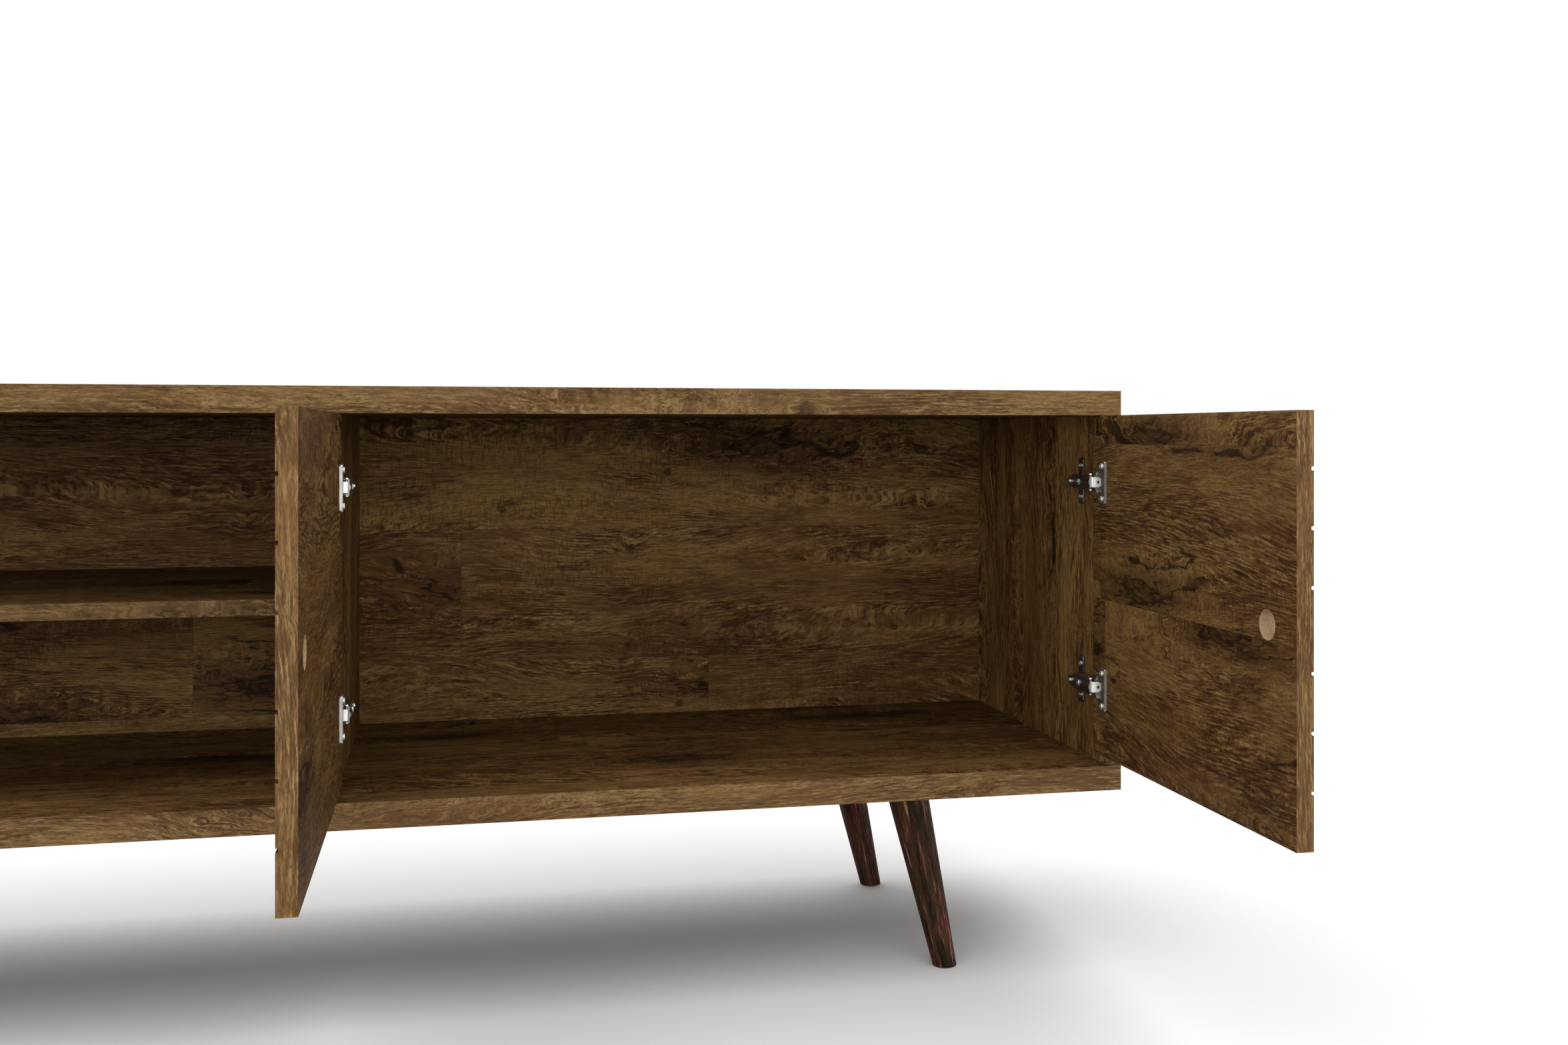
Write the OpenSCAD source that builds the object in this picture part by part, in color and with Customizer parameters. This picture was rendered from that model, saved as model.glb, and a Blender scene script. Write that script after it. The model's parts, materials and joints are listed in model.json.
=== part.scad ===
// Low TV stand: an open bay with one shelf on the left, and a bay with two hinged doors on the right.
// X runs along the width, Y from front to back, Z up from the floor. The doors stand open at a right angle.

/* [Body] */
// Overall width of the stand
body_w = 1600; // [1400:10:1800]
// Overall depth, from the front of the slabs to the nail heads on the back
body_d = 393; // [370:1:430]
// Clear height between the base slab and the top slab
inner_h = 357; // [340:1:400]
// Thickness of the top and base slabs
slab_t = 25; // [22:1:30]
// Thickness of the sides, partition and shelf
board_t = 15; // [15:1:18]
// Thickness of the back panels
back_t = 3; // [2.5:0.5:4]
// How far the sides and partition stand back from the slabs' front edge
side_setback = 20; // [20:1:24]
// How far the shelf stands back from the slabs' front edge
shelf_setback = 22; // [20:1:40]
// Clear width of the bay behind the doors
door_bay_w = 759; // [700:1:800]

/* [Doors] */
// Thickness of the doors
door_t = 15; // [15:0.5:16]
// Gap between the closed doors
door_mid_gap = 2; // [2:0.5:4]
// Gap between the doors and the top slab
door_top_gap = 0.5; // [0.5:0.5:3]
// Gap between the doors and the base slab
door_bottom_gap = 11.5; // [2:0.5:14]
// How far the closed doors stand back from the slabs' front edge
door_inset = 0.9; // [0.5:0.1:1]
// Width of the grooves across the door fronts
groove_w = 3; // [2:0.5:4]
// Depth of the grooves
groove_depth = 2; // [1:0.5:2.5]
// Height of the first groove above and below the middle of the door
groove_first = 33.5; // [30:0.5:36]
// Spacing of the further grooves
groove_pitch = 46.7; // [44:0.1:48]
// Diameter of the finger hole
finger_hole_d = 25; // [20:1:30]
// Distance of the finger hole from the door's free edge
finger_hole_inset = 44; // [30:1:60]

/* [Hinges] */
// Height of each hinge above or below the middle of the door
hinge_rise = 104.75; // [100:0.25:110]
// Outer diameter of the hinge cup
cup_d = 26; // [26:0.5:27]
// Depth of the hinge cup
cup_depth = 11.5; // [11.5:0.1:12]
// Distance of the cup's centre from the door's hinge edge
cup_inset = 17; // [17:0.1:17.4]
// Distance of the pivot from the door's hinge edge
pivot_inset = 8.1; // [8:0.1:8.2]
// Diameter of the hinge pin
pin_d = 2.5; // [2:0.1:2.6]
// Radial running clearance between the pin and its knuckle
running_gap = 0.05; // [0.02:0.01:0.1]

/* [Legs] */
// Height of the legs, from the floor to the underside of the base slab
leg_h = 184; // [150:1:200]
// Diameter of a leg at the floor
leg_foot_d = 24; // [22:1:28]
// Diameter of a leg at the base slab
leg_top_d = 42; // [40:1:48]
// Sideways lean of the legs, feet outwards
leg_lean = 12.6; // [8:0.2:14]
// Distance of each foot's centre from the stand's end
leg_end_inset = 171; // [150:1:220]
// Distance of each foot's centre from the slabs' front and rear edges
leg_edge_inset = 52.7; // [45:0.1:70]

/* [Hidden] */
$fn = 48;
cut = 1;                        // overshoot of a cutting shape past the face that it cuts
oak = "#6e4e30";
beech = "#deb887";
espresso = "#33201a";
steel = "#b9bbbd";
dark_steel = "#5a5b5e";
board_brown = "#4a3826";
plastic = "#1e1d1c";

// Carcass
nail_head_t = 0.5;
carcass_d = body_d - back_t - nail_head_t;
base_top = leg_h + slab_t;
top_under = base_top + inner_h;
stand_h = top_under + slab_t;
half_w = body_w / 2;
overlay = board_t / 2;          // how far a closed door covers the board that carries it
bay_right = half_w - board_t;
bay_left = bay_right - door_bay_w;
bay_mid = (bay_left + bay_right) / 2;
open_bay_right = bay_left - board_t;
open_bay_left = board_t - half_w;
back_margin = 3;                // how far the back panels stay inside the slabs' outline
back_split = bay_left - board_t / 2;
upright_mids = [-half_w + board_t / 2, back_split, half_w - board_t / 2];
shelf_mid_z = base_top + inner_h / 2;

// Doors and pivots, in the right-hand door's frame: x outwards from the pivot, y to the rear
door_w = (door_bay_w + 2 * overlay - door_mid_gap) / 2;
door_h = inner_h - door_top_gap - door_bottom_gap;
door_z = base_top + door_bottom_gap;
door_mid_z = door_z + door_h / 2;
pivot_depth = door_inset + door_t / 2;
open_edge_depth = pivot_depth + pivot_inset - door_w;
front_y = -(body_d + open_edge_depth) / 2;
rear_y = front_y + carcass_d;
pivot_x = half_w - overlay - pivot_inset;
pivot_y = front_y + pivot_depth;
hinge_zs = [door_mid_z + hinge_rise, door_mid_z - hinge_rise];
side_x = bay_right - pivot_x;   // inner face of the side, seen from the pivot
face_x = -door_t / 2;           // inner face of the open door, seen from the pivot
cup_y = pivot_inset - cup_inset;

// Hinge cup
cup_wall = 0.8;
pocket_gap = 0.05;
flange_t = 2.7;
flange_w = 15;
flange_h = 43;
flange_y = pivot_inset - 33;
flange_corner_r = 1.5;
notch_y = -17.2;                // the flange's notch, where the link and the arm pass
notch_half = 9.4;
rim_t = 0.7;
rim_proud = 1;
cup_screw_z = 16.5;
ear_inner_z = 4.4;
ear_r = 2.6;
pin_half = 8.2;
leaf_t = 0.4;
leaf_half = 3.5;
leaf_start_y = cup_y - 9;
leaf_end_y = -3.5;

// Hinge link and arm
knuckle_r = 2.2;
knuckle_half = 4;
link_half = 5.25;
link_front = -2.2;              // front face of the link's neck
link_rear = 1;                  // rear face of the neck, which the cup's mouth limits
neck_x = -5;                    // where the neck grows to its full height
link_inner_x = -10.6;
link_outer_x = -13;
link_end_y = 24;
window_x = -8;
window = 2.6;
arm_outer_x = -14.4;
arm_wall = 1.2;
arm_half = 7.6;
arm_tail_half = 4.4;
arm_front_y = 1.4;
arm_taper_y = 42;
arm_end_y = 57.5;
arm_lip_x = -11.6;              // the arm's sides stay in front of this where the door sweeps past
arm_deep_y = 13;                // behind here the sides reach down to the mounting plate
arm_deep_x = -3;
ridge_r = 4;
ridge_proud = 1.4;
ridge_l = 22.6;
rivet_r = 0.8;
rivet_head_r = 1.5;
rivet_y = 5;
rivet_half = 8.6;
arm_screw_y = 29;
tail_screw_y = 50.5;

// Mounting plate
plate_t = 2.2;
plate_w = 12;
plate_h = 49;
plate_corner_r = 4;
plate_y = 53.6;
plate_screw_z = 16.3;
slot_w = 4.2;
slot_l = 7.3;
plate_body_half = 5.8;
plate_body_y = [25, 42];
plate_tail_half = 3;
plate_tail_y = 53.5;
plate_body_x = -9;

// Screws: the radius and thickness of the head, then the radius and length of the shank
cup_screw = [3.1, 1.4, 1.6, 12];
plate_screw = [3.2, 1.5, 1.9, 13];
arm_screw = [3.4, 1.6, 2, 11];
tail_screw = [2.3, 1.8, 1.5, 9];
leg_screw = [3.8, 1.8, 2, 18];
screw_play = 0.2;               // how much wider than its shank a screw's hole in sheet metal is
cross_w = 0.7;                  // width of the slots of a cross recess
cross_share = 0.6;              // share of a head's radius and thickness that the recess takes

// Dowels, screws through the base slab, and nails
dowel_r = 4;
dowel_half = 13;
dowel_spare = 0.5;              // room past each end of a dowel
dowel_depths = [60, 190, 330];
base_dowel_depths = [40, 190, 350];
base_screw_depths = [90, 300];
base_screw_r = 2.5;
base_screw_head_r = 5;
base_screw_sink = 1;
base_screw_head_t = 4;
base_screw_l = 50;
shelf_dowel_half = 10;
shelf_dowel_depths = [60, 320];
nail_r = 0.8;
nail_head_r = 2;
nail_l = 18;
nail_count = 6;

// Legs
leg_plate_t = 3;
leg_plate_w = 62;
leg_screw_offset = 24;
bolt_r = 4;
bolt_in_leg = 42;
bolt_in_base = 11;
bolt_pocket_r = 8;
bolt_pocket_depth = 14;
glide_r = 8;
glide_t = 2;
glide_proud = 1;
leg_xs = [-half_w + leg_end_inset, half_w - leg_end_inset];
leg_ys = [front_y + leg_edge_inset, front_y + body_d - leg_edge_inset];
leg_top_z = leg_h - leg_plate_t;

// ---- Placing ----

// A box from its lowest corner to its highest corner
module block(low, high) {
    translate(low) cube(high - low);
}

// A cylinder along +X from x0 to x1
module rod_x(r, x0, x1) {
    translate([x0, 0, 0]) rotate([0, 90, 0]) cylinder(r = r, h = x1 - x0);
}

// Extrudes an outline drawn in Y and Z along +X
module extrude_x(x0, x1) {
    translate([x0, 0, 0]) rotate([90, 0, 90]) linear_extrude(x1 - x0) children();
}

// Puts a right-hand hinge piece at the right door's pivot
module at_right(z) {
    translate([pivot_x, pivot_y, z]) children();
}

// Puts the mirror image of a right-hand hinge piece at the left door's pivot
module at_left(z) {
    translate([2 * bay_mid - pivot_x, pivot_y, z]) mirror([1, 0, 0]) children();
}

// Repeats a right-hand hinge piece at all the hinges
module at_all_hinges() {
    for (z = hinge_zs) {
        at_right(z) children();
        at_left(z) children();
    }
}

// ---- Fasteners ----

// A cross-head screw along X: its head stands off x = 0 towards -X, its shank runs towards +X
module cross_screw(size) {
    head_r = size[0];
    head_t = size[1];
    difference() {
        union() {
            rod_x(head_r, -head_t, 0);
            rod_x(size[2], -head_t / 2, size[3]);
        }
        for (a = [0, 90])
            rotate([a, 0, 0])
                block([-head_t - cut, -head_r * cross_share, -cross_w / 2],
                      [-head_t * (1 - cross_share), head_r * cross_share, cross_w / 2]);
    }
}

// The radius of a screw's hole in sheet metal
function screw_hole_r(size) = size[2] + screw_play;

// Dowels in the upright boards' top and bottom edges; grow widens them into their holes
module dowel_set(grow = 0) {
    for (x = upright_mids) {
        for (d = dowel_depths) dowel(x, front_y + d, top_under, grow);
        for (d = base_dowel_depths) dowel(x, front_y + d, base_top, grow);
    }
}

module dowel(x, y, z, grow) {
    translate([x, y, z - dowel_half - grow]) cylinder(r = dowel_r, h = 2 * (dowel_half + grow));
}

module shelf_dowel_set(grow = 0) {
    for (x = [open_bay_left, open_bay_right])
        for (d = shelf_dowel_depths)
            translate([x, front_y + d, shelf_mid_z])
                rod_x(dowel_r, -shelf_dowel_half - grow, shelf_dowel_half + grow);
}

// One screw that comes up through the base slab into an upright board
module base_screw() {
    head_z = leg_h + base_screw_sink;
    translate([0, 0, head_z]) cylinder(r = base_screw_head_r, h = base_screw_head_t);
    translate([0, 0, head_z + base_screw_head_t / 2]) cylinder(r = base_screw_r, h = base_screw_l);
}

// The hole for a base screw, open at the underside
module base_screw_hole() {
    translate([0, 0, leg_h - cut])
        cylinder(r = base_screw_head_r, h = base_screw_sink + base_screw_head_t + cut);
    translate([0, 0, leg_h]) cylinder(r = base_screw_r, h = base_screw_l + base_screw_head_t);
}

module at_base_screws() {
    for (x = upright_mids)
        for (d = base_screw_depths)
            translate([x, front_y + d, 0]) children();
}

// One nail driven from the back towards -Y
module nail() {
    rotate([90, 0, 0]) translate([0, 0, -nail_head_t]) cylinder(r = nail_head_r, h = nail_head_t);
    rotate([90, 0, 0]) translate([0, 0, -nail_head_t / 2]) cylinder(r = nail_r, h = nail_l);
}

// ---- Boards ----

module top_panel() {
    color(oak) difference() {
        block([-half_w, front_y, top_under], [half_w, rear_y, stand_h]);
        dowel_set(dowel_spare);
    }
}

module base_panel() {
    color(oak) difference() {
        block([-half_w, front_y, leg_h], [half_w, rear_y, base_top]);
        dowel_set(dowel_spare);
        at_base_screws() base_screw_hole();
        at_legs() translate([0, 0, leg_h - cut])
            cylinder(r = bolt_pocket_r, h = bolt_pocket_depth + cut);
    }
}

// An upright board from x0, with its dowel, screw and shelf holes
module upright(x0) {
    color(oak) difference() {
        block([x0, front_y + side_setback, base_top], [x0 + board_t, rear_y, top_under]);
        dowel_set(dowel_spare);
        at_base_screws() base_screw_hole();
        shelf_dowel_set(dowel_spare);
    }
}

module left_side() {
    upright(-half_w);
}

module right_side() {
    upright(bay_right);
}

module center_partition() {
    upright(open_bay_right);
}

module shelf() {
    color(oak) difference() {
        block([open_bay_left, front_y + shelf_setback, shelf_mid_z - board_t / 2],
              [open_bay_right, rear_y, shelf_mid_z + board_t / 2]);
        shelf_dowel_set(dowel_spare);
    }
}

module back_panel(x0, x1) {
    color(board_brown)
        block([x0, rear_y, leg_h + back_margin], [x1, rear_y + back_t, stand_h - back_margin]);
}

module back_panel_left() {
    back_panel(-half_w + back_margin, back_split);
}

module back_panel_right() {
    back_panel(back_split, half_w - back_margin);
}

// Nails along the slabs, both ends and both sides of the seam between the back panels
module back_panel_nails() {
    spans = [[-half_w + back_margin, back_split], [back_split, half_w - back_margin]];
    edge = 5;
    color(dark_steel) for (span = spans) {
        for (i = [0 : nail_count - 1], z = [leg_h + slab_t / 2, stand_h - slab_t / 2])
            translate([span[0] + edge + (span[1] - span[0] - 2 * edge) * i / (nail_count - 1),
                       rear_y + back_t, z]) nail();
        for (i = [1 : 2], x = [span[0] + edge, span[1] - edge])
            translate([x, rear_y + back_t, base_top + inner_h * i / 3]) nail();
    }
}

module panel_dowels() {
    color(beech) dowel_set();
}

module shelf_dowels() {
    color(beech) shelf_dowel_set();
}

module base_screws() {
    color(steel) at_base_screws() base_screw();
}

// ---- Legs ----

// A leaning leg with its foot's centre at x = 0; lean is the sign of the side that it leans in from
module leg(lean) {
    reach = leg_h / cos(leg_lean);
    spare = 20;
    slope = (leg_top_d - leg_foot_d) / 2 / reach;
    color(espresso) difference() {
        intersection() {
            rotate([0, -lean * leg_lean, 0]) translate([0, 0, -spare])
                cylinder(r1 = leg_foot_d / 2 - slope * spare, r2 = leg_top_d / 2 + slope * spare,
                         h = reach + 2 * spare, $fn = 64);
            block([-leg_h, -leg_h, glide_proud], [leg_h, leg_h, leg_top_z]);
        }
        translate([0, 0, -cut]) cylinder(r = glide_r, h = glide_t + cut);
        leg_axis(lean) cylinder(r = bolt_r, h = bolt_in_leg + cut);
    }
}

// Moves children onto the leg's axis, starting inside the leg and pointing up out of its top
module leg_axis(lean) {
    start = leg_top_z / cos(leg_lean) - bolt_in_leg;
    rotate([0, -lean * leg_lean, 0]) translate([0, 0, start]) children();
}

// Repeats children where the leg axes meet the underside of the base slab
module at_legs() {
    for (x = leg_xs, y = leg_ys)
        translate([x - sign(x) * leg_h * tan(leg_lean), y, 0]) children();
}

module leg_front_left() {
    translate([leg_xs[0], leg_ys[0], 0]) leg(-1);
}

module leg_front_right() {
    translate([leg_xs[1], leg_ys[0], 0]) leg(1);
}

module leg_rear_left() {
    translate([leg_xs[0], leg_ys[1], 0]) leg(-1);
}

module leg_rear_right() {
    translate([leg_xs[1], leg_ys[1], 0]) leg(1);
}

// The threaded bolts that join the legs to their plates
module leg_bolt_set() {
    for (x = leg_xs, y = leg_ys)
        translate([x, y, 0]) leg_axis(sign(x))
            cylinder(r = bolt_r, h = bolt_in_leg + leg_plate_t + bolt_in_base);
}

module leg_bolts() {
    color(steel) leg_bolt_set();
}

module leg_plates() {
    color(dark_steel) difference() {
        at_legs() block([-leg_plate_w / 2, -leg_plate_w / 2, leg_top_z],
                        [leg_plate_w / 2, leg_plate_w / 2, leg_h]);
        leg_bolt_set();
        at_leg_plate_screws() translate([0, 0, leg_top_z - cut])
            cylinder(r = screw_hole_r(leg_screw), h = leg_plate_t + 2 * cut);
    }
}

module at_leg_plate_screws() {
    at_legs()
        for (dx = [-leg_screw_offset, leg_screw_offset], dy = [-leg_screw_offset, leg_screw_offset])
            translate([dx, dy, 0]) children();
}

module leg_plate_screws() {
    color(steel) at_leg_plate_screws() translate([0, 0, leg_top_z])
        rotate([0, -90, 0]) cross_screw(leg_screw);
}

module foot_glides() {
    color(plastic) for (x = leg_xs, y = leg_ys)
        translate([x, y, 0]) cylinder(r = glide_r, h = glide_t);
}

// ---- Doors, each drawn in the right-hand pivot frame at mid-height ----

module door() {
    color(oak) difference() {
        block([-door_t / 2, pivot_inset - door_w, -door_h / 2], [door_t / 2, pivot_inset, door_h / 2]);
        for (i = [0 : 2], s = [-1, 1])
            translate([0, 0, s * (groove_first + i * groove_pitch)])
                block([door_t / 2 - groove_depth, pivot_inset - door_w - cut, -groove_w / 2],
                      [door_t / 2 + cut, pivot_inset + cut, groove_w / 2]);
        translate([0, pivot_inset - door_w + finger_hole_inset, 0])
            rod_x(finger_hole_d / 2, -door_t, door_t);
        for (s = [-1, 1])
            translate([0, cup_y, s * hinge_rise])
                rod_x(cup_d / 2 + pocket_gap, face_x - cut, face_x + cup_depth + pocket_gap);
    }
}

module left_door() {
    at_left(door_mid_z) door();
}

module right_door() {
    at_right(door_mid_z) door();
}

// ---- Hinge pieces, each drawn in the right-hand pivot frame ----

// The space inside the cup and out through its rim
module cup_hollow() {
    translate([0, cup_y, 0])
        rod_x(cup_d / 2 - cup_wall, face_x - rim_t - cut, face_x + cup_depth - cup_wall);
}

// The flange that is screwed to the door
module cup_flange() {
    difference() {
        extrude_x(face_x - flange_t, face_x)
            translate([flange_y + flange_w / 2, 0]) rounded(flange_w, flange_h, flange_corner_r);
        block([face_x - flange_t - cut, notch_y, -notch_half],
              [face_x + cut, flange_y + flange_w + cut, notch_half]);
    }
}

module hinge_cup() {
    color(steel) difference() {
        union() {
            difference() {
                union() {
                    translate([0, cup_y, 0]) rod_x(cup_d / 2, face_x - rim_t, face_x + cup_depth);
                    translate([0, cup_y, 0]) rod_x(cup_d / 2 + rim_proud, face_x - rim_t, face_x);
                }
                cup_hollow();
            }
            cup_flange();
            for (s = [-1, 1]) cup_ear(s);
        }
        pin_shape();
        for (s = [-1, 1])
            translate([0, flange_y + flange_w / 2, s * cup_screw_z])
                rod_x(screw_hole_r(cup_screw), face_x - flange_t - cut, face_x + cut);
    }
}

// One of the two ears in the cup that hold the pin, clipped to the inside of the cup
module cup_ear(s) {
    ear_outer_z = cup_d / 2;
    intersection() {
        union() {
            translate([0, 0, s > 0 ? ear_inner_z : -ear_outer_z])
                cylinder(r = ear_r, h = ear_outer_z - ear_inner_z);
            block([0, -ear_r, s > 0 ? ear_inner_z : -ear_outer_z],
                  [cup_depth, ear_r, s > 0 ? ear_outer_z : -ear_inner_z]);
        }
        translate([0, cup_y, 0])
            rod_x(cup_d / 2 - cup_wall / 2, face_x, face_x + cup_depth - cup_wall / 2);
    }
}

module pin_shape() {
    translate([0, 0, -pin_half]) cylinder(d = pin_d, h = 2 * pin_half);
}

// A thin leaf in the bottom of the cup that presses on the link
module spring_leaf() {
    bottom = face_x + cup_depth - cup_wall;
    block([bottom - leaf_t, leaf_start_y, -leaf_half], [bottom, leaf_end_y, leaf_half]);
}

module cup_screw_pair() {
    for (s = [-1, 1])
        translate([face_x - flange_t, flange_y + flange_w / 2, s * cup_screw_z])
            cross_screw(cup_screw);
}

// The gooseneck: a knuckle on the pin, a neck out of the cup's mouth and a tongue into the arm
module hinge_link() {
    color(steel) difference() {
        union() {
            translate([0, 0, -knuckle_half]) cylinder(r = knuckle_r, h = 2 * knuckle_half);
            block([neck_x - cut, link_front, -knuckle_half], [0, link_rear, knuckle_half]);
            block([link_outer_x, link_front, -link_half], [neck_x, link_rear, link_half]);
            block([link_outer_x, link_front, -link_half], [link_inner_x, link_end_y, link_half]);
        }
        translate([0, 0, -knuckle_half - cut])
            cylinder(r = pin_d / 2 + running_gap, h = 2 * (knuckle_half + cut));
        block([window_x, link_front - cut, -window / 2], [window_x + window, link_rear + cut, window / 2]);
        rivet_shape();
    }
}

module rivet_shape() {
    translate([(link_inner_x + link_outer_x) / 2, rivet_y, -rivet_half])
        cylinder(r = rivet_r, h = 2 * rivet_half);
}

// The rivet through the arm's sides and the link's tongue, with its two heads
module rivet() {
    rivet_shape();
    for (s = [-1, 1])
        translate([(link_inner_x + link_outer_x) / 2, rivet_y, s > 0 ? arm_half : -rivet_half])
            cylinder(r = rivet_head_r, h = rivet_half - arm_half);
}

// The arm's outline in Y and Z, pulled in all round by inset
module arm_outline(inset) {
    half = arm_half - inset;
    tail = arm_tail_half - inset;
    end_y = arm_end_y - inset;
    polygon([[arm_front_y, -half], [arm_taper_y, -half], [end_y - tail, -tail],
             [end_y - tail, tail], [arm_taper_y, half], [arm_front_y, half]]);
    translate([end_y - tail, 0]) circle(r = tail);
}

module hinge_arm() {
    color(dark_steel) difference() {
        union() {
            extrude_x(arm_outer_x, arm_outer_x + arm_wall) arm_outline(0);
            difference() {
                extrude_x(arm_outer_x + arm_wall / 2, arm_deep_x) arm_outline(0);
                extrude_x(arm_outer_x, arm_deep_x + cut) {
                    arm_outline(arm_wall);
                    translate([0, -arm_half + arm_wall]) square([arm_deep_y, 2 * (arm_half - arm_wall)]);
                }
                block([arm_lip_x, 0, -arm_half - cut], [0, arm_deep_y, arm_half + cut]);
            }
            intersection() {
                translate([arm_outer_x + ridge_r - ridge_proud, arm_front_y, 0]) rotate([-90, 0, 0])
                    cylinder(r = ridge_r, h = ridge_l);
                block([arm_outer_x - ridge_r, 0, -ridge_r],
                      [arm_outer_x + arm_wall / 2, arm_end_y, ridge_r]);
            }
        }
        rivet_shape();
        arm_screw_hole(arm_screw, arm_screw_y);
        arm_screw_hole(tail_screw, tail_screw_y);
    }
}

module arm_screw_hole(size, y) {
    translate([0, y, 0]) rod_x(screw_hole_r(size), arm_outer_x - cut, arm_outer_x + arm_wall + cut);
}

module arm_screw_pair() {
    translate([arm_outer_x, arm_screw_y, 0]) cross_screw(arm_screw);
    translate([arm_outer_x, tail_screw_y, 0]) cross_screw(tail_screw);
}

module hinge_plate() {
    color(dark_steel) difference() {
        union() {
            extrude_x(side_x - plate_t, side_x)
                translate([plate_y, 0]) rounded(plate_w, plate_h, plate_corner_r);
            block([plate_body_x, plate_body_y[0], -plate_body_half],
                  [side_x, plate_body_y[1], plate_body_half]);
            block([plate_body_x, plate_body_y[1] - cut, -plate_tail_half],
                  [side_x, plate_tail_y, plate_tail_half]);
        }
        for (s = [-1, 1])
            translate([0, plate_y, s * plate_screw_z])
                extrude_x(side_x - plate_t - cut, side_x + cut) slot();
    }
}

// A rectangle round its centre, with round corners
module rounded(w, h, r) {
    square([w, h - 2 * r], center = true);
    square([w - 2 * r, h], center = true);
    for (y = [-1, 1], z = [-1, 1])
        translate([y * (w / 2 - r), z * (h / 2 - r)]) circle(r = r);
}

// A slot outline, long in Z
module slot() {
    straight = slot_l - slot_w;
    square([slot_w, straight], center = true);
    for (s = [-1, 1]) translate([0, s * straight / 2]) circle(d = slot_w);
}

module plate_screw_pair() {
    for (s = [-1, 1])
        translate([side_x - plate_t, plate_y, s * plate_screw_z]) cross_screw(plate_screw);
}

// ---- Hinge nodes ----

module left_upper_hinge_plate() {
    at_left(hinge_zs[0]) hinge_plate();
}

module left_lower_hinge_plate() {
    at_left(hinge_zs[1]) hinge_plate();
}

module right_upper_hinge_plate() {
    at_right(hinge_zs[0]) hinge_plate();
}

module right_lower_hinge_plate() {
    at_right(hinge_zs[1]) hinge_plate();
}

module left_upper_hinge_arm() {
    at_left(hinge_zs[0]) hinge_arm();
}

module left_lower_hinge_arm() {
    at_left(hinge_zs[1]) hinge_arm();
}

module right_upper_hinge_arm() {
    at_right(hinge_zs[0]) hinge_arm();
}

module right_lower_hinge_arm() {
    at_right(hinge_zs[1]) hinge_arm();
}

module left_upper_hinge_link() {
    at_left(hinge_zs[0]) hinge_link();
}

module left_lower_hinge_link() {
    at_left(hinge_zs[1]) hinge_link();
}

module right_upper_hinge_link() {
    at_right(hinge_zs[0]) hinge_link();
}

module right_lower_hinge_link() {
    at_right(hinge_zs[1]) hinge_link();
}

module left_upper_hinge_cup() {
    at_left(hinge_zs[0]) hinge_cup();
}

module left_lower_hinge_cup() {
    at_left(hinge_zs[1]) hinge_cup();
}

module right_upper_hinge_cup() {
    at_right(hinge_zs[0]) hinge_cup();
}

module right_lower_hinge_cup() {
    at_right(hinge_zs[1]) hinge_cup();
}

module left_hinge_pins() {
    color(dark_steel) for (z = hinge_zs) at_left(z) pin_shape();
}

module right_hinge_pins() {
    color(dark_steel) for (z = hinge_zs) at_right(z) pin_shape();
}

module left_hinge_springs() {
    color(steel) for (z = hinge_zs) at_left(z) spring_leaf();
}

module right_hinge_springs() {
    color(steel) for (z = hinge_zs) at_right(z) spring_leaf();
}

module left_cup_screws() {
    color(steel) for (z = hinge_zs) at_left(z) cup_screw_pair();
}

module right_cup_screws() {
    color(steel) for (z = hinge_zs) at_right(z) cup_screw_pair();
}

module hinge_rivets() {
    color(steel) at_all_hinges() rivet();
}

module hinge_plate_screws() {
    color(steel) at_all_hinges() plate_screw_pair();
}

module hinge_arm_screws() {
    color(steel) at_all_hinges() arm_screw_pair();
}

top_panel();
base_panel();
left_side();
right_side();
center_partition();
shelf();
back_panel_left();
back_panel_right();
back_panel_nails();
panel_dowels();
base_screws();
shelf_dowels();
leg_front_left();
leg_front_right();
leg_rear_left();
leg_rear_right();
leg_plates();
leg_bolts();
leg_plate_screws();
foot_glides();
left_door();
right_door();
left_upper_hinge_plate();
left_lower_hinge_plate();
right_upper_hinge_plate();
right_lower_hinge_plate();
left_upper_hinge_arm();
left_lower_hinge_arm();
right_upper_hinge_arm();
right_lower_hinge_arm();
left_upper_hinge_link();
left_lower_hinge_link();
right_upper_hinge_link();
right_lower_hinge_link();
left_upper_hinge_cup();
left_lower_hinge_cup();
right_upper_hinge_cup();
right_lower_hinge_cup();
left_hinge_pins();
right_hinge_pins();
left_hinge_springs();
right_hinge_springs();
left_cup_screws();
right_cup_screws();
hinge_rivets();
hinge_plate_screws();
hinge_arm_screws();
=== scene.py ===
"""Looks for the TV stand: rustic oak boards, espresso legs, nickel hinges, a white studio and the camera."""

import json
import math
from types import SimpleNamespace

import bpy
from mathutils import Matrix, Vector


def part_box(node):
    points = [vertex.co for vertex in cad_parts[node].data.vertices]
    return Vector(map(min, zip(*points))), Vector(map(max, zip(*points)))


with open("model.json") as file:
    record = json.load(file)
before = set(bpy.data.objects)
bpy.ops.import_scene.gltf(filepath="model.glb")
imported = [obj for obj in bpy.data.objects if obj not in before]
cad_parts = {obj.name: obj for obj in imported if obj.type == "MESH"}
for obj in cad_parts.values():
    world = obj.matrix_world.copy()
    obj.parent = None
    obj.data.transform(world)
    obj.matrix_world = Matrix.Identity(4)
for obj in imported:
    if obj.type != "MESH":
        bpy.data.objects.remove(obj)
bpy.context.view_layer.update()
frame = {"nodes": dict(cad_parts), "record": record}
nodes = frame["nodes"]

MM = 0.001


def srgb(red, green, blue):
    """A colour picked in sRGB 0 to 255, as linear RGBA."""
    def linear(c):
        c /= 255
        return c / 12.92 if c <= 0.04045 else ((c + 0.055) / 1.055) ** 2.4
    return linear(red), linear(green), linear(blue), 1.0


# ---- Camera, placed from the top panel's front edge and right end ----

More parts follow.
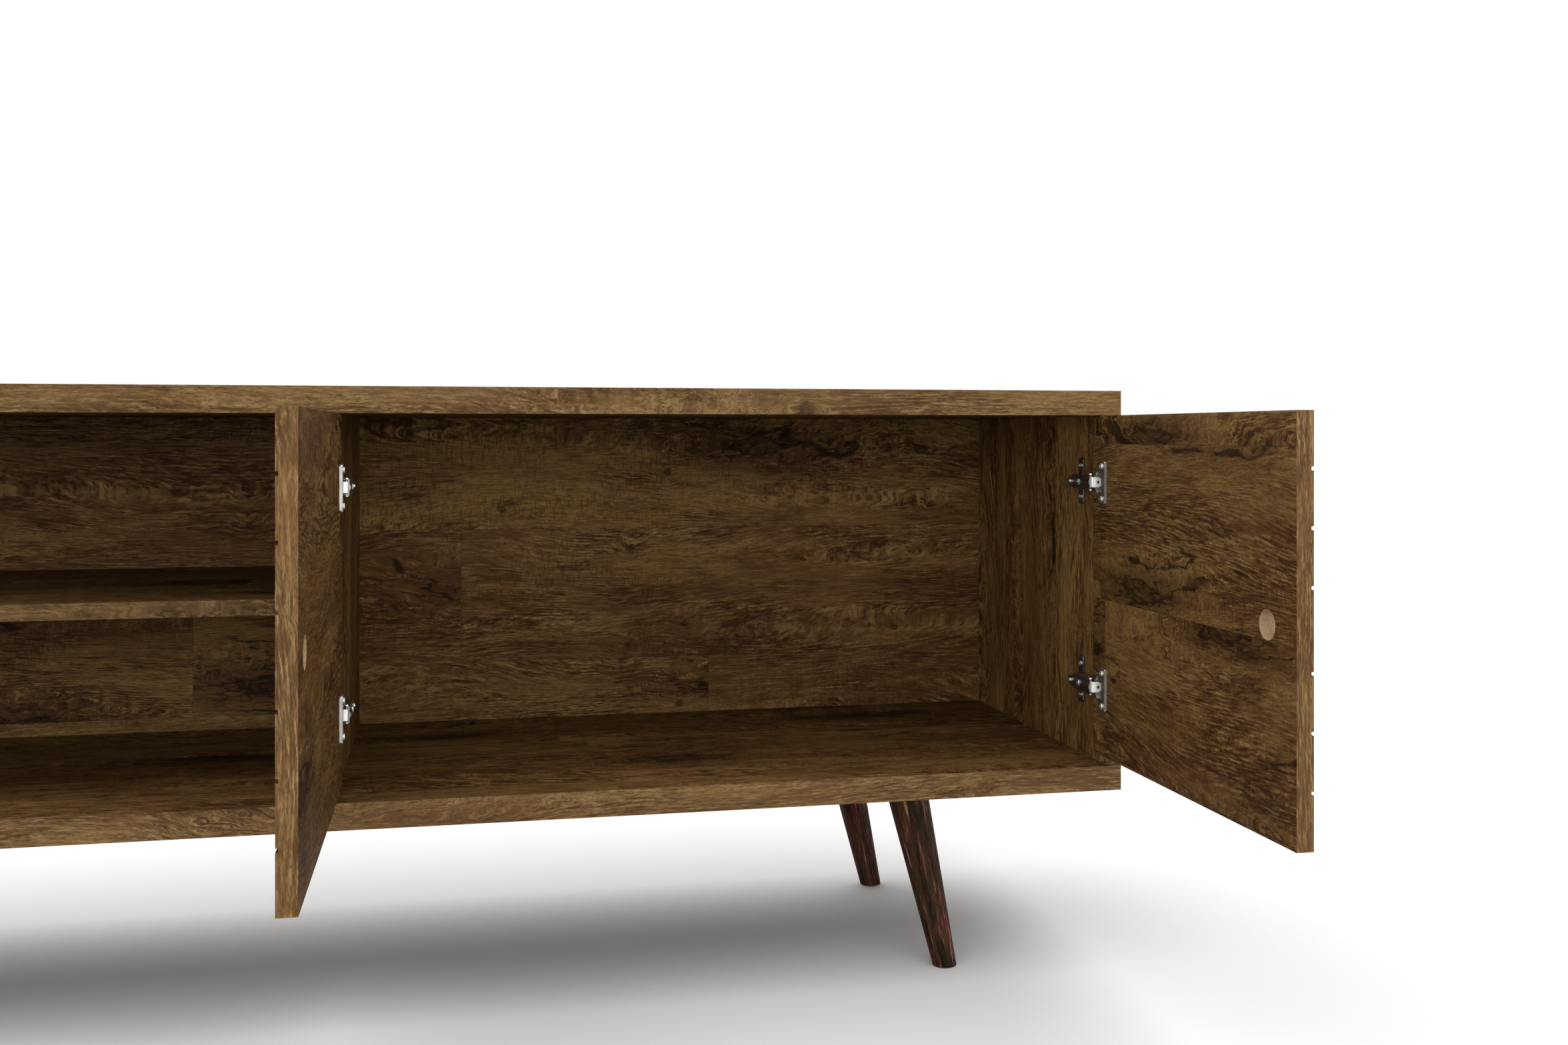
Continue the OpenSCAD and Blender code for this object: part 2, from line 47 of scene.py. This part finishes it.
CAMERA_YAW = math.radians(12.094)
CAMERA_LENS = 34.643
CAMERA_SHIFT = -0.05577
CAMERA_SENSOR = 36.0
CAMERA_FROM_RIGHT = 658.8 * MM
CAMERA_FROM_FRONT = 1433.4 * MM
CAMERA_HEIGHT = 545.9 * MM

# ---- Studio: suns by name, with strength, spread, elevation and heading, the last three in degrees ----

CEILING_SUN = ("ceiling", 4.2, 96, 80, -90)
FRONT_SUNS = (
    ("front_left", 1.6, 30, 4, -38),
    ("front_middle", 1.9, 30, 4, 0),
    ("front_right", 1.6, 30, 4, 38),
)
WHITE = (1.0, 1.0, 1.0, 1.0)
FLOOR_GREY = (0.54, 0.54, 0.54, 1.0)
FLOOR_HALF = 30.0

# ---- Oak print on the boards ----

PLANK_WIDTH = 157 * MM
PLANK_LENGTH = 0.92
SEAM_WIDTH = 0.8 * MM
RING_SPACING = 3.6 * MM
KNOT_CELLS = (2.1, 7.5, 0.0)
PIN_KNOT_CELLS = (15.0, 21.0, 0.0)
OAK_PALE = srgb(120, 96, 58)
OAK_LIGHT = srgb(102, 78, 43)
OAK_BROWN = srgb(68, 45, 22)
OAK_DARK = srgb(40, 22, 9)
OAK_BLACK = srgb(13, 7, 3)
OAK_RED = srgb(80, 47, 24)
EDGE_TINT = (1.05, 1.12, 1.34, 1.0)

# How far the print moves along and across its grain: for a seed of 1, and at most from plank to plank
SEED_STEP = (1.37, 0.61)
PLANK_JUMP = (9.0, 7.0)

# ---- Bare board: the core inside the finger holes, and the unprinted side of the back panels ----

FINGER_HOLE_RADIUS = 12.5 * MM
CORE_DARK = srgb(116, 98, 71)
CORE_LIGHT = srgb(132, 112, 84)
RAW_DARK = srgb(62, 47, 34)
RAW_LIGHT = srgb(104, 82, 60)
RAW_STAIN = srgb(118, 94, 70)

# ---- Door grooves, which get painted shade: how deep under a door's front their faces lie, and how far from its top and bottom. ----
# ---- Each pair runs from where a point isn't in a groove to where it is ----

GROOVE_MOUTH = (0.2 * MM, 0.6 * MM)
GROOVE_FLOOR = (3.0 * MM, 2.5 * MM)
GROOVE_MARGIN = (1 * MM, 2 * MM)

# ---- Legs ----

LEG_LEAN = math.radians(12.6)
ESPRESSO_BLACK = srgb(8, 6, 3)
ESPRESSO_DARK = srgb(11, 8, 2)
ESPRESSO_BROWN = srgb(36, 24, 12)
ESPRESSO_LIGHT = srgb(58, 38, 22)
ESPRESSO_RED = srgb(84, 36, 30)
ESPRESSO_PALE = srgb(124, 92, 80)

# ---- Hinges: the square window in a link, measured from the link's end in the arm, and the near-black painted shade on its walls ----

WINDOW_FROM_END = 6.3 * MM
WINDOW_HALF = 1.3 * MM
WINDOW_SHADE = srgb(6, 6, 6)


class Shader:
    """One material's node tree. Most methods add nodes and return the socket that holds their result."""

    def __init__(self, name):
        self.material = bpy.data.materials.new(name)
        self.material.use_nodes = True
        self.tree = self.material.node_tree
        self.tree.nodes.clear()
        self.output = self.tree.nodes.new("ShaderNodeOutputMaterial")
        self.surface = self.tree.nodes.new("ShaderNodeBsdfPrincipled")
        self.tree.links.new(self.surface.outputs[0], self.output.inputs["Surface"])

    def node(self, kind, sockets=(), out=0, **settings):
        """Any node: sockets by name or number, and the number of the output to return."""
        made = self.tree.nodes.new(kind)
        for key, value in settings.items():
            setattr(made, key, value)
        for key, value in dict(sockets).items():
            self.feed(made.inputs[key], value)
        return made.outputs[out]

    def feed(self, socket, value):
        """Links a socket to another one, or gives it a constant; None leaves it as it is."""
        if isinstance(value, bpy.types.NodeSocket):
            self.tree.links.new(value, socket)
        elif value is not None:
            socket.default_value = value

    def math(self, operation, a, b=None):
        return self.node("ShaderNodeMath", {0: a, 1: b}, operation=operation)

    def add(self, a, b):
        return self.math("ADD", a, b)

    def sub(self, a, b):
        return self.math("SUBTRACT", a, b)

    def mul(self, a, b):
        return self.math("MULTIPLY", a, b)

    def larger(self, a, b):
        return self.math("MAXIMUM", a, b)

    def absolute(self, a):
        return self.math("ABSOLUTE", a)

    def ramp(self, value, low, high, to_low=0.0, to_high=1.0):
        """value from low to high, eased, onto to_low to to_high."""
        sockets = {"Value": value, "From Min": low, "From Max": high, "To Min": to_low, "To Max": to_high}
        return self.node("ShaderNodeMapRange", sockets, interpolation_type="SMOOTHSTEP")

    def split(self, vector):
        made = self.tree.nodes.new("ShaderNodeSeparateXYZ")
        self.feed(made.inputs[0], vector)
        return made.outputs[0], made.outputs[1], made.outputs[2]

    def join(self, x, y, z):
        return self.node("ShaderNodeCombineXYZ", {0: x, 1: y, 2: z})

    def place(self):
        """Where the point is, in metres in its object's own frame, which is the stand's frame at rest."""
        return self.node("ShaderNodeTexCoord", out=3)

    def facing(self):
        """Which way the surface faces, in its object's own frame."""
        return self.node("ShaderNodeTexCoord", out=1)

    def vector(self, operation, a, b):
        return self.node("ShaderNodeVectorMath", {0: a, 1: b}, operation=operation)

    def noise(self, vector, scales, detail=2.0, roughness=0.5, distortion=0.0):
        """Noise of 0 to 1 with its own scale, in cells per metre, along each axis."""
        sockets = {"Vector": self.vector("MULTIPLY", vector, scales), "Scale": 1.0, "Detail": detail,
                   "Roughness": roughness, "Distortion": distortion}
        return self.node("ShaderNodeTexNoise", sockets)

    def random(self, vector):
        """Three numbers of 0 to 1 that look random and are always the same for the same vector."""
        colour = self.node("ShaderNodeTexWhiteNoise", {"Vector": vector}, out=1, noise_dimensions="3D")
        return self.split(colour)

    def mix(self, factor, a, b, blend="MIX"):
        made = self.tree.nodes.new("ShaderNodeMix")
        made.data_type = "RGBA"
        made.blend_type = blend
        for key, value in ((0, factor), (6, a), (7, b)):
            self.feed(made.inputs[key], value)
        return made.outputs[2]

    def multiply(self, a, b):
        """Two colours multiplied."""
        return self.mix(1.0, a, b, blend="MULTIPLY")

    def bump(self, height, distance, strength):
        sockets = {"Height": height, "Distance": distance, "Strength": strength}
        self.feed(self.surface.inputs["Normal"], self.node("ShaderNodeBump", sockets))

    def set(self, **values):
        """Sets the shader's own sockets; an underscore in a name stands for a space."""
        for key, value in values.items():
            self.feed(self.surface.inputs[key.replace("_", " ")], value)


def board_faces(s, axes):
    """How far a point is on a board's ends, on any of its narrow edges and on its flat faces: 0 or 1, except
    on rounded corners and on the wall of a hole."""
    normal = dict(zip("xyz", s.split(s.facing())))
    long_edge = s.ramp(s.absolute(normal[axes[1]]), 0.6, 0.75)
    end = s.ramp(s.absolute(normal[axes[0]]), 0.6, 0.75)
    edge = s.add(long_edge, end)
    return SimpleNamespace(normal=normal, end=end, edge=edge, flat=s.sub(1.0, edge))


def lay_planks(s, along, across, through, seed, face):
    """Planks on the flat, in rows with joints of their own, and one strip along each narrow edge. Returns the
    place in the print, the seams between planks and a random number for each plank."""
    row = s.math("FLOOR", s.math("DIVIDE", across, PLANK_WIDTH))
    row_in = s.math("FRACT", s.math("DIVIDE", across, PLANK_WIDTH))
    shift, _, _ = s.random(s.join(row, seed, 3.0))
    length_at = s.add(s.math("DIVIDE", along, PLANK_LENGTH), shift)
    column = s.math("FLOOR", length_at)
    column_in = s.math("FRACT", length_at)
    r1, r2, r3 = s.random(s.join(row, column, seed))
    plank_along = s.add(along, s.mul(r1, PLANK_JUMP[0]))
    plank_across = s.add(across, s.mul(r2, PLANK_JUMP[1]))
    plank = s.join(plank_along, plank_across, through)
    strip = s.mix(face.end, s.join(along, through, across), s.join(across, through, along))
    seam_row = s.ramp(s.math("PINGPONG", row_in, 0.5), SEAM_WIDTH / PLANK_WIDTH, 0.0)
    seam_end = s.ramp(s.math("PINGPONG", column_in, 0.5), SEAM_WIDTH / PLANK_LENGTH, 0.0)
    seam = s.mul(s.larger(seam_row, seam_end), face.flat)
    return s.mix(face.edge, plank, strip), seam, r3


def knots(s, grain, cells, rarity, size):
    """Knots in the cells whose random number is over rarity: how deep in a knot a point is, how near to one,
    and on its rim or cracks."""
    cell = s.vector("MULTIPLY", grain, cells)
    made = s.tree.nodes.new("ShaderNodeTexVoronoi")
    made.voronoi_dimensions = "2D"
    s.feed(made.inputs["Vector"], cell)
    s.feed(made.inputs["Scale"], 1.0)
    s.feed(made.inputs["Randomness"], 0.85)
    chosen, _, _ = s.split(made.outputs["Color"])
    ragged = s.mul(s.sub(s.noise(cell, (11, 9, 0), detail=4.0, roughness=0.6), 0.5), size * 2.4)
    far = s.add(made.outputs["Distance"], ragged)
    there = s.math("GREATER_THAN", chosen, rarity)
    rim = s.mul(s.ramp(far, size * 0.45, size * 0.62), s.ramp(far, size * 0.85, size * 0.66))
    veins = s.absolute(s.sub(s.noise(cell, (13, 9, 0), detail=2.0), 0.5))
    crack = s.mul(s.ramp(veins, 0.035, 0.012), s.ramp(far, size * 1.9, size * 0.7))
    shell = s.mul(s.larger(rim, crack), there)
    return s.mul(s.ramp(far, size, size * 0.45), there), s.mul(s.ramp(far, size * 4.2, 0.0), there), shell


def growth_field(s, grain, across, face, swell, pin_swell):
    """A field whose contours are the growth rings, which bend round the knots."""
    warp = s.mul(s.sub(s.noise(grain, (1.5, 7.5, 7.5), detail=1.5, distortion=0.3), 0.5), 0.19)
    ripple = s.mul(s.sub(s.noise(grain, (11, 40, 40), detail=2.0), 0.5), 0.007)
    push = s.add(s.mul(swell, 0.034), s.mul(pin_swell, 0.008))
    return s.add(s.add(across, s.mul(warp, s.ramp(face.edge, 0.0, 1.0, 1.0, 0.35))), s.add(ripple, push))


def oak_marks(s, grain, face, seam):
    """Everything the print shows at a place in the grain, each 0 to 1."""
    m = SimpleNamespace()
    m.knot, m.swell, m.shell = knots(s, grain, KNOT_CELLS, 0.50, 0.11)
    m.pin, pin_swell, _ = knots(s, grain, PIN_KNOT_CELLS, 0.93, 0.11)
    along, across, through = s.split(grain)
    growth = growth_field(s, grain, across, face, m.swell, pin_swell)
    flow = s.join(along, growth, through)

    # Fine broken lines, hairs and rings, in patches of more and less figure
    m.patch = s.ramp(s.noise(grain, (5, 20, 20), detail=4.0, roughness=0.68), 0.40, 0.60)
    lines = s.noise(flow, (45, 420, 160), detail=3.0, roughness=0.75)
    m.dark_line = s.ramp(lines, 0.46, 0.62)
    m.light_line = s.ramp(lines, 0.49, 0.35)
    m.hairs = s.ramp(s.noise(flow, (140, 1000, 500), detail=2.0, roughness=0.7), 0.48, 0.64)
    m.crest = s.ramp(s.math("PINGPONG", s.math("DIVIDE", growth, RING_SPACING), 0.5), 0.10, 0.42)

    # Clouds, red patches and smudges
    m.cloud = s.noise(grain, (4.5, 30, 30), detail=5.0, roughness=0.66)
    m.red = s.ramp(s.noise(grain, (3.5, 24, 24), detail=3.0, roughness=0.6), 0.50, 0.66)
    m.smudge = s.ramp(s.noise(grain, (6, 26, 26), detail=5.0, roughness=0.7, distortion=0.5), 0.58, 0.68)

    # Long splits, in torn patches and round the knots
    fissure = s.absolute(s.sub(s.noise(flow, (1.5, 12, 12), detail=4.0, roughness=0.5), 0.5))
    torn = s.ramp(s.noise(grain, (3.4, 17, 17), detail=2.0), 0.55, 0.65)
    m.split = s.mul(s.ramp(fissure, 0.013, 0.003), s.larger(torn, s.ramp(m.swell, 0.1, 0.5)))

    # Saw marks: short dashes across the grain, in patches
    saw = s.ramp(s.noise(grain, (420, 80, 80), detail=1.0), 0.52, 0.64)
    sawn = s.ramp(s.noise(grain, (6, 14, 14), detail=3.0), 0.50, 0.62)
    m.comb = s.mul(saw, sawn)

    m.seam = s.mul(seam, s.ramp(m.cloud, 0.30, 0.60, 0.15, 0.65))
    return m


def oak_colour(s, m, face, shade):
    """The print's colour, from the light base down through the darker marks."""
    def by_patch(low, high):
        return s.ramp(m.patch, 0.0, 1.0, low, high)

    knot_marks = s.larger(m.shell, s.larger(s.mul(m.knot, 0.5), s.mul(m.pin, 0.8)))
    scars = s.larger(m.split, s.mul(knot_marks, face.flat))
    layers = (
        (m.red, 0.22, OAK_RED),
        (m.light_line, by_patch(0.30, 0.60), OAK_PALE),
        (m.dark_line, by_patch(0.40, 0.95), OAK_DARK),
        (m.crest, by_patch(0.12, 0.50), OAK_DARK),
        (m.hairs, by_patch(0.55, 0.85), OAK_DARK),
        (s.mul(m.comb, face.flat), 0.42, OAK_DARK),
        (m.smudge, 0.50, OAK_DARK),
        (s.mul(s.ramp(m.swell, 0.25, 1.0), face.flat), 0.60, OAK_DARK),
        (scars, 0.80, OAK_BLACK),
        (m.seam, 0.5, OAK_BLACK),
    )
    colour = s.mix(s.ramp(shade, 0.37, 0.63), OAK_BROWN, OAK_LIGHT)
    for mark, strength, ink in layers:
        colour = s.mix(s.mul(mark, strength), colour, ink)
    return colour


def inside_grooves(s, xyz, face, low, high, front):
    """Where a door's grooves are, which get painted shade: a little under its front, the plane at X front,
    not on its four edges.
    """
    deep = s.absolute(s.sub(xyz["x"], front))
    from_middle = s.absolute(s.sub(xyz["z"], (low.z + high.z) / 2))
    half = (high.z - low.z) / 2
    in_door = s.ramp(from_middle, half - GROOVE_MARGIN[0], half - GROOVE_MARGIN[1])
    under = s.mul(s.ramp(deep, *GROOVE_MOUTH), s.ramp(deep, *GROOVE_FLOOR))
    return s.mul(s.mul(under, in_door), s.sub(1.0, face.end))


def bare_core(s, place, xyz, axes, face, hole):
    """Where the wall of a finger hole is, and the colour of the board's chips."""
    away = [s.sub(xyz[a], hole["xyz".index(a)]) for a in axes[:2]]
    far = s.math("SQRT", s.add(s.mul(away[0], away[0]), s.mul(away[1], away[1])))
    near_wall = s.ramp(far, FINGER_HOLE_RADIUS + 0.5 * MM, FINGER_HOLE_RADIUS + 0.3 * MM)
    chips = s.noise(place, (650, 650, 650), detail=2.0)
    return s.mul(near_wall, face.edge), s.mix(s.ramp(chips, 0.35, 0.65), CORE_DARK, CORE_LIGHT)


def bare_back(s, place, face):
    """Where a board faces backwards, and the colour of its unprinted side."""
    fibres = s.noise(place, (700, 700, 700), detail=5.0, roughness=0.75)
    stains = s.noise(place, (16, 16, 16), detail=6.0, roughness=0.7)
    raw = s.mix(s.ramp(fibres, 0.38, 0.62), RAW_DARK, RAW_LIGHT)
    raw = s.mix(s.ramp(stains, 0.40, 0.65, 0.0, 0.25), raw, RAW_STAIN)
    return s.ramp(face.normal["y"], 0.5, 0.8), raw


def oak(name, axes, seed, painted_shading=1.0, edge_painted_shading=1.0, hole=None, grooved=None, raw_back=False):
    """Rustic oak print on a board. axes orders x, y and z as along the grain, across it and through the
    board. The two factors after seed brighten or darken the flat faces and the narrow edges of each board as
    painted light and painted shade. hole is the centre of a finger hole, which shows the board's raw core.
    grooved is a door's lowest and highest corner and the X of its grooved front; the grooves get painted
    shade, darkened towards black. raw_back leaves the side that faces backwards unprinted."""
    s = Shader(name)
    place = s.place()
    xyz = dict(zip("xyz", s.split(place)))
    face = board_faces(s, axes)
    along, across, through = (xyz[a] for a in axes)
    along = s.add(along, seed * SEED_STEP[0])
    across = s.add(across, seed * SEED_STEP[1])
    grain, seam, chance = lay_planks(s, along, across, through, seed, face)
    m = oak_marks(s, grain, face, seam)

    wide_scales = [1.9 if a == axes[0] else 5.0 for a in "xyz"]
    wide = s.noise(place, wide_scales, detail=3.0, roughness=0.62)
    own = s.mul(s.mul(s.sub(chance, 0.5), face.flat), 0.07)
    shade = s.add(s.mul(m.cloud, 0.55), s.add(s.mul(wide, 0.45), own))
    base = oak_colour(s, m, face, shade)

    # Lighter, plainer foil on the narrow edges; the faces and the edges are then brightened or darkened per
    # board as painted light and painted shade
    plainer = s.mix(0.12, base, OAK_LIGHT)
    edge_tint = tuple(edge_painted_shading * c for c in EDGE_TINT)
    base = s.mix(face.edge, s.multiply(base, (painted_shading, painted_shading, painted_shading, 1.0)), s.multiply(plainer, edge_tint))
    rough = s.add(0.60, s.mul(s.add(m.hairs, m.dark_line), 0.12))

    # Painted shade: the door's grooves are darkened towards black
    if grooved is not None:
        base = s.mix(s.mul(inside_grooves(s, xyz, face, *grooved), 0.75), base, OAK_BLACK)
    if hole is not None:
        inside, core = bare_core(s, place, xyz, axes, face, hole)
        base = s.mix(inside, base, core)
        rough = s.add(rough, s.mul(inside, 0.35))
    if raw_back:
        behind, raw = bare_back(s, place, face)
        base = s.mix(behind, base, raw)
        rough = s.add(rough, s.mul(behind, 0.25))

    s.set(Base_Color=base, Roughness=rough, Specular_IOR_Level=0.04)
    marks = s.add(s.mul(m.hairs, 0.35), s.add(s.mul(m.dark_line, 0.35), s.mul(m.split, 0.9)))
    s.bump(s.sub(0.5, s.add(marks, s.mul(m.seam, 0.8))), 0.25 * MM, 0.6)
    return s.material


def espresso(name, foot, lean, seed):
    """Dark stained wood with reddish streaks along a leg that leans about the Y axis through its foot."""
    s = Shader(name)
    from_foot = s.vector("SUBTRACT", s.place(), tuple(foot))
    upright = s.node("ShaderNodeVectorRotate", {"Vector": from_foot, "Angle": lean}, rotation_type="Y_AXIS")
    local = s.vector("ADD", upright, (seed, seed * 0.7, seed * 0.3))
    bands = s.noise(local, (120, 120, 3.2), detail=2.0, roughness=0.55)
    streaks = s.noise(local, (420, 420, 7), detail=4.0, roughness=0.7)
    fibres = s.noise(local, (900, 900, 26), detail=3.0, roughness=0.7)
    pores = s.ramp(s.noise(local, (1300, 1300, 60), detail=1.0), 0.56, 0.72)
    blotch = s.noise(local, (34, 34, 18), detail=4.0, roughness=0.65)
    red = s.mul(s.ramp(s.mix(0.5, streaks, fibres), 0.46, 0.60), s.ramp(blotch, 0.46, 0.60))
    pale = s.mul(s.ramp(streaks, 0.56, 0.68), s.ramp(bands, 0.45, 0.60))
    base = s.mix(s.ramp(bands, 0.40, 0.60), ESPRESSO_DARK, ESPRESSO_BROWN)
    base = s.mix(s.ramp(fibres, 0.45, 0.70, 0.0, 0.55), base, ESPRESSO_LIGHT)
    base = s.mix(s.mul(red, 0.65), base, ESPRESSO_RED)
    base = s.mix(s.mul(pale, 0.65), base, ESPRESSO_PALE)
    base = s.mix(s.mul(pores, 0.7), base, ESPRESSO_BLACK)
    s.set(Base_Color=base, Roughness=s.add(0.46, s.mul(streaks, 0.2)), Specular_IOR_Level=0.05)
    s.bump(s.sub(s.mul(streaks, 0.3), pores), 0.15 * MM, 0.5)
    return s.material


def metal(name, colour, roughness, metallic=1.0, windows=()):
    """Plated or bare metal with fine drawing lines and slightly uneven gloss. windows lists the centres of
    small square holes along Y whose walls get painted shade, near black."""
    s = Shader(name)
    place = s.place()
    lines = s.noise(place, (260, 260, 2600), detail=2.0, roughness=0.6)
    smears = s.noise(place, (90, 90, 90), detail=3.0)
    tint = s.ramp(smears, 0.3, 0.7, 0.86, 1.06)
    base = s.multiply(colour, s.join(tint, tint, tint))
    x, _, z = s.split(place)
    # Painted shade: the walls of each window are darkened to near black
    for middle in windows:
        far = s.larger(s.absolute(s.sub(x, middle.x)), s.absolute(s.sub(z, middle.z)))
        inside = s.ramp(far, WINDOW_HALF + 0.12 * MM, WINDOW_HALF + 0.04 * MM)
        base = s.mix(inside, base, WINDOW_SHADE)
    s.set(Base_Color=base, Roughness=s.add(roughness - 0.06, s.mul(smears, 0.14)), Metallic=metallic)
    s.bump(lines, 0.02 * MM, 0.5)
    return s.material


def raw_wood(name):
    """Pale beech dowels."""
    s = Shader(name)
    flecks = s.noise(s.place(), (900, 900, 120), detail=2.0)
    s.set(Base_Color=s.mix(s.ramp(flecks, 0.35, 0.7), srgb(206, 172, 124), srgb(178, 138, 90)), Roughness=0.7)
    return s.material


def plastic(name):
    """Matt black moulded plastic with a fine grain."""
    s = Shader(name)
    grain = s.noise(s.place(), (1800, 1800, 1800), detail=2.0)
    s.set(Base_Color=s.mix(grain, srgb(24, 23, 22), srgb(38, 37, 36)), Roughness=0.55)
    s.bump(grain, 0.03 * MM, 0.4)
    return s.material


def paint(names, material):
    """Puts a material in every slot of the named CAD nodes."""
    for name in names:
        for slot in nodes[name].material_slots:
            slot.material = material


def ease_edges(names, width, segments=2):
    """Rounds the sharp edges of CAD nodes a little with modifiers, and leaves their meshes alone."""
    for name in names:
        weld = nodes[name].modifiers.new("weld", "WELD")
        weld.merge_threshold = 0.01 * MM
        bevel = nodes[name].modifiers.new("eased", "BEVEL")
        bevel.width = width
        bevel.segments = segments
        bevel.limit_method = "ANGLE"
        bevel.angle_limit = math.radians(40)
        bevel.harden_normals = True


def finger_hole(side):
    """Centre of a door's finger hole, from the record's opening for it."""
    openings = frame["record"]["physics"]["openings"]
    low, high = next(o["box_m"] for o in openings if o["name"] == f"{side}_finger_hole")
    return (Vector(low) + Vector(high)) / 2


def paint_boards():
    # The brightening and darkening factors given to each board are painted light and painted shade, for how
    # light falls on it
    paint(["top_panel"], oak("oak_top", "xyz", 1.0, edge_painted_shading=0.95))
    paint(["base_panel"], oak("oak_base", "xyz", 2.2, painted_shading=1.22))
    paint(["shelf"], oak("oak_shelf", "xyz", 3.1, painted_shading=0.8, edge_painted_shading=0.75))
    paint(["left_side"], oak("oak_left_side", "zyx", 4.3))
    paint(["right_side"], oak("oak_right_side", "zyx", 5.2, painted_shading=1.45))
    paint(["center_partition"], oak("oak_partition", "zyx", 6.4))
    paint(["back_panel_left"], oak("oak_back_left", "xzy", 10.7, painted_shading=0.84, raw_back=True))
    paint(["back_panel_right"], oak("oak_back_right", "xzy", 11.9, painted_shading=1.04, raw_back=True))
    ease_edges(["top_panel", "base_panel", "shelf", "left_side", "right_side", "center_partition"], 0.5 * MM)


def paint_doors():
    for side, seed in (("left", 7.7), ("right", 8.9)):
        low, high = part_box(f"{side}_door")
        front = low.x if side == "left" else high.x
        grooved = (low, high, front)
        # The doors' narrow edges are brightened as painted light
        door = oak(f"oak_{side}_door", "yzx", seed, edge_painted_shading=1.18, hole=finger_hole(side), grooved=grooved)
        paint([f"{side}_door"], door)
    ease_edges(["left_door", "right_door"], 0.5 * MM)


def paint_legs():
    for i, name in enumerate(["leg_front_left", "leg_front_right", "leg_rear_left", "leg_rear_right"]):
        low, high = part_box(name)
        side = 1 if name.endswith("right") else -1
        foot = Vector((high.x if side > 0 else low.x, (low.y + high.y) / 2, low.z))
        paint([name], espresso(f"espresso_{name}", foot, side * LEG_LEAN, 1.0 + i))
        ease_edges([name], 1.0 * MM, segments=3)


def link_window(name):
    """Centre of the square window in a hinge link's neck."""
    low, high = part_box(name)
    middle = (low + high) / 2
    middle.x = low.x + WINDOW_FROM_END if name.startswith("right") else high.x - WINDOW_FROM_END
    return middle


def paint_hinges():
    hinges = [f"{side}_{level}_hinge_" for side in ("left", "right") for level in ("upper", "lower")]
    pieces = ("plate", "arm", "link", "cup")
    plates, arms, links, cups = ([hinge + piece for hinge in hinges] for piece in pieces)
    dark = metal("dark_nickel", srgb(130, 129, 126), 0.32)
    satin = metal("satin_nickel", srgb(176, 174, 169), 0.36)
    windows = [link_window(link) for link in links]
    bright = metal("bright_steel", srgb(236, 235, 230), 0.40, metallic=0.5, windows=windows)
    spring = metal("spring_steel", srgb(120, 124, 132), 0.30)
    paint(plates + arms + ["left_hinge_pins", "right_hinge_pins"], dark)
    paint(cups, satin)
    paint(links + ["hinge_rivets"], bright)
    paint(["left_hinge_springs", "right_hinge_springs"], spring)
    ease_edges(plates + arms, 0.3 * MM)
    ease_edges(cups + links, 0.25 * MM)


def paint_fittings():
    zinc = metal("zinc_steel", srgb(190, 190, 188), 0.34)
    hinge_screws = ["hinge_plate_screws", "hinge_arm_screws", "left_cup_screws", "right_cup_screws"]
    paint(hinge_screws + ["leg_plates"], zinc)
    paint(["back_panel_nails", "base_screws", "leg_bolts", "leg_plate_screws"], zinc)
    ease_edges(hinge_screws + ["leg_plates"], 0.15 * MM)
    paint(["panel_dowels", "shelf_dowels"], raw_wood("beech"))
    paint(["foot_glides"], plastic("glide_plastic"))


def build_floor():
    """A wide pale grey floor, which isn't part of the object."""
    corners = [(x * FLOOR_HALF, y * FLOOR_HALF, 0) for x, y in ((-1, -1), (1, -1), (1, 1), (-1, 1))]
    mesh = bpy.data.meshes.new("floor")
    mesh.from_pydata(corners, [], [(0, 1, 2, 3)])
    made = bpy.data.objects.new("floor", mesh)
    bpy.context.scene.collection.objects.link(made)
    s = Shader("studio_floor")
    s.set(Base_Color=FLOOR_GREY, Roughness=0.9, Specular_IOR_Level=0.1)
    mesh.materials.append(s.material)
    return made


def build_world():
    world = bpy.data.worlds.new("studio")
    world.use_nodes = True
    background = world.node_tree.nodes["Background"]
    background.inputs["Color"].default_value = WHITE
    background.inputs["Strength"].default_value = 1.0
    bpy.context.scene.world = world


def sun(name, strength, spread, elevation, heading, skips=None):
    """A soft distant light. elevation is above the front horizon and 90 is overhead; heading turns it to the
    right. It doesn't light the object skips."""
    light = bpy.data.lights.new(name, "SUN")
    light.energy = strength
    light.angle = math.radians(spread)
    lamp = bpy.data.objects.new(name, light)
    lamp.rotation_euler = (math.radians(90 - elevation), 0, math.radians(heading))
    bpy.context.scene.collection.objects.link(lamp)
    if skips is not None:
        lit = bpy.data.collections.new(f"{name}_lit")
        lit.objects.link(skips)
        lit.collection_objects[0].light_linking.link_state = "EXCLUDE"
        lamp.light_linking.receiver_collection = lit


def build_camera():
    low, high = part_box("top_panel")
    camera = bpy.data.cameras.new("camera")
    camera.sensor_width = CAMERA_SENSOR
    camera.lens = CAMERA_LENS
    camera.shift_y = CAMERA_SHIFT
    rig = bpy.data.objects.new("camera", camera)
    rig.location = (high.x - CAMERA_FROM_RIGHT, low.y - CAMERA_FROM_FRONT, CAMERA_HEIGHT)
    rig.rotation_euler = (math.pi / 2, 0, -CAMERA_YAW)
    bpy.context.scene.collection.objects.link(rig)
    bpy.context.scene.camera = rig


build_camera()
build_world()
floor = build_floor()
sun(*CEILING_SUN)
for front_sun in FRONT_SUNS:
    sun(*front_sun, skips=floor)
paint_boards()
paint_doors()
paint_legs()
paint_hinges()
paint_fittings()
bpy.context.scene.view_settings.view_transform = "Standard"
